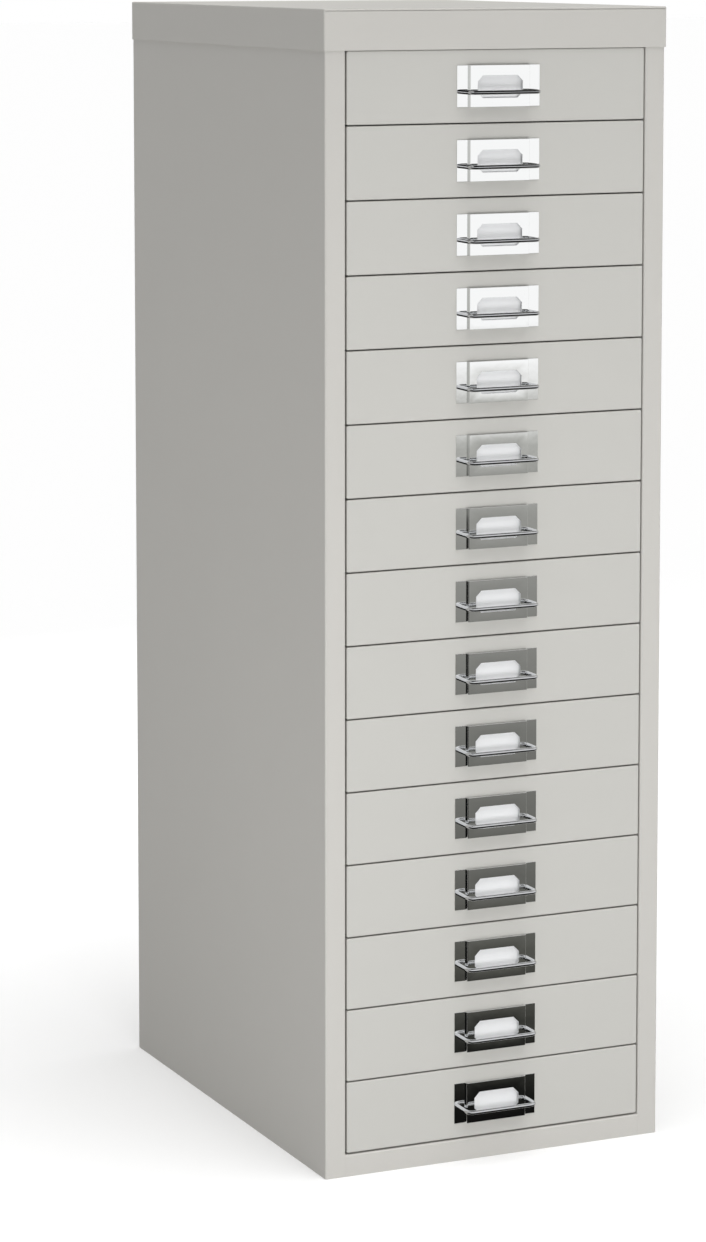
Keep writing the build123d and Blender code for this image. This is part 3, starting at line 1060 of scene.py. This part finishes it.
# Label plates. Each is a strip of 0.8 mm steel with its middle pressed out to leave a pocket
# for the card, an eight-sided window and a small lip at its foot, then bright chrome-plated.
# The legs of the pull pin its two wings to the drawer front.
PLATE_WIDTH = 0.0673
PLATE_HEIGHT = 0.0305
PLATE_RISE = 0.0030
PLATE_WING = 0.00855
PLATE_SLANT = 0.0008
WINDOW_WIDTH = 0.0366
WINDOW_HEIGHT = 0.0164
WINDOW_CORNER = 0.0043
WINDOW_DROP = 0.0005
LIP_HALF = 0.010
LIP_GAP = 0.0003
# The sheet's chrome is lighter than real chrome, a painted brightness that makes the plates
# mirror white.
SHEET_CHROME_PAINTED_BRIGHT = "#F6F7F7"
CHROME_ROUGHNESS = 0.02
WAVE_SIZE = 0.012
WAVE_STRENGTH = 0.3
WAVE_RELIEF = 0.00005


def chrome_plate(name, code):
    """Decorative chromium over nickel on steel.

    It is a clear mirror with a faintly cold tint. The wire has chromium's usual level, and
    the sheet is drawn lighter than real chrome, as it looks in the photo: a painted
    brightness in its reflections. The metal under it leaves a very slight wave in it,
    about 12 mm long.
    """
    material, tree, place = new_material(name)
    wave = add_node(tree, "ShaderNodeTexNoise", {"Vector": place, "Scale": 1 / WAVE_SIZE})
    relief = add_node(
        tree,
        "ShaderNodeBump",
        {"Height": wave.outputs["Fac"], "Strength": WAVE_STRENGTH, "Distance": WAVE_RELIEF},
    )
    surface = {
        "Base Color": linear(code),
        "Metallic": 1.0,
        "Roughness": CHROME_ROUGHNESS,
        "Normal": relief.outputs["Normal"],
    }
    set_inputs(tree, tree.nodes["Principled BSDF"], surface)
    return material


def add_plate_face(bm, line, rows, window):
    """Add one face of the plate: its folded strips, and its middle round the window.

    It gives the points of its outer edge and of the window.
    """
    columns = [[bm.verts.new((x, y, z)) for z in rows] for x, y in line]
    half = len(columns) // 2
    for i in range(len(columns) - 1):
        # The middle strip holds the window.
        if i == half - 1:
            continue
        for k in range(len(rows) - 1):
            near_edge = (columns[i][k], columns[i + 1][k])
            bm.faces.new((*near_edge, columns[i + 1][k + 1], columns[i][k + 1]))
    hole = [bm.verts.new((x, line[half][1], z)) for x, z in window]
    left, right = columns[half - 1], columns[half]
    around = [left[1], left[2], left[3], right[3], right[2], right[1], right[0], left[0]]
    join_rings(bm, around, hole)
    outside = [column[0] for column in columns] + columns[-1][1:]
    outside += [column[-1] for column in reversed(columns[:-1])] + columns[0][-2:0:-1]
    return outside, hole


# The plates get the chrome with the painted brightness, lighter than the wire's.
sheet_chrome_painted_bright = chrome_plate("chrome on sheet, painted brighter than real", SHEET_CHROME_PAINTED_BRIGHT)
plate_middle = front_centre[1]
plate_low = plate_middle - PLATE_HEIGHT / 2
wing_end = PLATE_WIDTH / 2
rise_foot = wing_end - PLATE_WING
rise_top = rise_foot - PLATE_SLANT
wing_face = front - TRAY_SHEET
plate_face = wing_face - PLATE_RISE
half_plate = [(wing_end, wing_face), (rise_foot, wing_face), (rise_top, plate_face)]
pressed = [(-x, y) for x, y in half_plate] + half_plate[::-1]
window_half = WINDOW_WIDTH / 2
window_low = plate_middle - WINDOW_DROP - WINDOW_HEIGHT / 2
window_high = window_low + WINDOW_HEIGHT
window = [
    (-window_half, window_low + WINDOW_CORNER),
    (-window_half, window_high - WINDOW_CORNER),
    (WINDOW_CORNER - window_half, window_high),
    (window_half - WINDOW_CORNER, window_high),
    (window_half, window_high - WINDOW_CORNER),
    (window_half, window_low + WINDOW_CORNER),
    (window_half - WINDOW_CORNER, window_low),
    (WINDOW_CORNER - window_half, window_low),
]
rows = (plate_low, window[0][1], window[1][1], plate_low + PLATE_HEIGHT)
bm = bmesh.new()
edges = [
    add_plate_face(bm, line, rows, window)
    for line in fold_line(pressed, TRAY_SHEET, BEND_RADIUS)
]
for first, second in zip(*edges):
    join_rings(bm, first, second)
card_lip = [(front - PLATE_RISE, plate_low), (front - LIP_GAP, plate_low)]
add_fold(bm, card_lip, -LIP_HALF, LIP_HALF, "X", TRAY_SHEET)
plate_mesh = to_mesh(bm, "label plate")
for number, drawer in enumerate(reversed(drawers)):
    plate = set_in_drawer(plate_mesh, f"{drawer}_label_plate", number, sheet_chrome_painted_bright)
    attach(plate, drawer)
    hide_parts(f"{drawer}_pull")

# Wire pulls. Each is one 3.1 mm steel rod, cold-bent into a square bow and chrome-plated. Its
# legs pass through the plate and the front, and a push-on washer grips each of them behind.
WIRE_DIAMETER = 0.0031
WIRE_SIDES = 32
LEG_SPREAD = 0.0556
LEG_DROP = 0.0043
LEG_TAIL = 0.0014
BOW_CORNER = 0.0045
BOW_STEPS = 12
WASHER_SHEET = 0.0008
WASHER_RADIUS = 0.0040
WASHER_FOLD = 0.00248
WASHER_BORE = 0.00165
WASHER_STEPS = 32
# The section of a washer, as radii and shares of its sheet away from the drawer front.
WASHER_SECTION = (
    (WASHER_BORE, 0.5),
    (WASHER_FOLD, 0.45),
    (WASHER_RADIUS, 0),
    (WASHER_RADIUS, 0.4),
    (WASHER_FOLD, 1),
    (WASHER_BORE, 1),
)
WIRE_CHROME = "#C4C5C7"
SPRING_STEEL = "#8E8C88"
SPRING_ROUGHNESS = (0.25, 0.42)


def bent_wire_tree():
    """Draw a round wire of one thickness along corner points, with every corner rounded."""
    inputs = {
        "Corners": "Geometry",
        "Bend Radius": "Float",
        "Bend Steps": "Int",
        "Wire Radius": "Float",
        "Wire Sides": "Int",
        "Finish": "Material",
    }
    tree, given = new_geometry_tree("bent wire", inputs, "Wire")
    corners = add_node(tree, "GeometryNodeMeshToCurve", {"Mesh": given["Corners"]})
    bent = add_node(
        tree,
        "GeometryNodeFilletCurve",
        {
            "Curve": corners.outputs["Curve"],
            "Count": given["Bend Steps"],
            "Radius": given["Bend Radius"],
        },
        mode="POLY",
    )
    section = add_node(
        tree,
        "GeometryNodeCurvePrimitiveCircle",
        {"Resolution": given["Wire Sides"], "Radius": given["Wire Radius"]},
    )
    drawn = add_node(
        tree,
        "GeometryNodeCurveToMesh",
        {
            "Curve": bent.outputs["Curve"],
            "Profile Curve": section.outputs["Curve"],
            "Fill Caps": True,
        },
    )
    solid = add_node(tree, "GeometryNodeRealizeInstances", {0: drawn.outputs["Mesh"]})
    plated = add_node(
        tree,
        "GeometryNodeSetMaterial",
        {"Geometry": solid.outputs[0], "Material": given["Finish"]},
    )
    add_node(tree, "NodeGroupOutput", {"Wire": plated.outputs[0]})
    return tree


def oiled_spring_steel():
    """Spring steel, punched, hardened and oiled.

    It is a darker grey metal than the rest, and the film of oil smears its gloss.
    """
    material, tree, place = new_material("oiled spring steel")
    smears = add_node(tree, "ShaderNodeTexNoise", {"Vector": place, "Scale": 1 / SCUFF_SIZE})
    low, high = SPRING_ROUGHNESS
    gloss = add_node(
        tree,
        "ShaderNodeMapRange",
        {"Value": smears.outputs["Fac"], "To Min": low, "To Max": high},
    )
    surface = {
        "Base Color": linear(SPRING_STEEL),
        "Metallic": 1.0,
        "Roughness": gloss.outputs["Result"],
    }
    set_inputs(tree, tree.nodes["Principled BSDF"], surface)
    return material


wire_chrome = chrome_plate("chrome on drawn wire", WIRE_CHROME)
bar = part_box(f"{drawers[-1]}_pull")[0].y + WIRE_DIAMETER / 2
near_sheet = front + TRAY_SHEET
leg_end = near_sheet + WASHER_SHEET + LEG_TAIL
leg_level = plate_middle - LEG_DROP
half_spread = LEG_SPREAD / 2
corner_mesh = bpy.data.meshes.new("corners of the pull")
corner_mesh.from_pydata(
    [
        (-half_spread, leg_end, leg_level),
        (-half_spread, bar, leg_level),
        (half_spread, bar, leg_level),
        (half_spread, leg_end, leg_level),
    ],
    [(0, 1), (1, 2), (2, 3)],
    [],
)
values = {
    "Bend Radius": BOW_CORNER,
    "Bend Steps": BOW_STEPS,
    "Wire Radius": WIRE_DIAMETER / 2,
    "Wire Sides": WIRE_SIDES,
    "Finish": wire_chrome,
}
wire_mesh = grow(corner_mesh, bent_wire_tree(), values)
ring = [(radius, near_sheet + WASHER_SHEET * share) for radius, share in WASHER_SECTION]
bm = bmesh.new()
for side in (-1, 1):
    add_turned(bm, ring, (side * half_spread, leg_level), "Y", WASHER_STEPS, closed=True)
washer_mesh = to_mesh(bm, "washers")
spring_steel = oiled_spring_steel()
for number, drawer in enumerate(reversed(drawers)):
    for mesh, part, finish in (
        (wire_mesh, "wire_pull", wire_chrome),
        (washer_mesh, "washers", spring_steel),
    ):
        piece = set_in_drawer(mesh, f"{drawer}_{part}", number, finish)
        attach(piece, drawer)
        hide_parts(f"{drawer}_pull")

# Label cards. Each is a slip of white card under a clear plastic front, die-cut with round
# corners. It stands on the lip of the plate and lies flat on the drawer front.
CARD_CORNER = 0.0012
CARD_WHITE = "#F7F8F9"
CARD_ROUGHNESS = 0.7
FIBRE_SIZE = 0.0009
FIBRE_SHADE = 0.97
FILM_ROUGHNESS = 0.06


def white_card():
    """Bleached card stock behind a clear PVC front.

    The card is a flat bright white with a faint mottle of fibres, and the plastic over it
    adds a sharp but weak gloss.
    """
    material, tree, place = new_material("white card behind clear PVC")
    fibres = add_node(
        tree,
        "ShaderNodeTexNoise",
        {"Vector": place, "Scale": 1 / FIBRE_SIZE, "Detail": 3.0},
    )
    base = linear(CARD_WHITE)
    tone = add_node(
        tree,
        "ShaderNodeMix",
        {0: fibres.outputs["Fac"], 6: times(base, FIBRE_SHADE), 7: base},
        data_type="RGBA",
    )
    surface = {
        "Base Color": tone.outputs[2],
        "Roughness": CARD_ROUGHNESS,
        "Coat Weight": 1.0,
        "Coat Roughness": FILM_ROUGHNESS,
    }
    set_inputs(tree, tree.nodes["Principled BSDF"], surface)
    return material


card_low, card_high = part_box(f"{drawers[-1]}_card")
card_middle = (card_low + card_high) / 2
card_half = (card_high - card_low) / 2
card_shape = ((card_middle.x, card_middle.z), card_half.x, card_half.z, CARD_CORNER)
bm = bmesh.new()
faces = [rounded_ring(bm, *card_shape, y, "Y") for y in (card_low.y, card_high.y)]
join_rings(bm, *faces)
for face in faces:
    bm.faces.new(face)
card_mesh = to_mesh(bm, "label card")
card_stock = white_card()
for number, drawer in enumerate(reversed(drawers)):
    card = set_in_drawer(card_mesh, f"{drawer}_label", number, card_stock)
    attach(card, drawer)
    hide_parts(f"{drawer}_card")
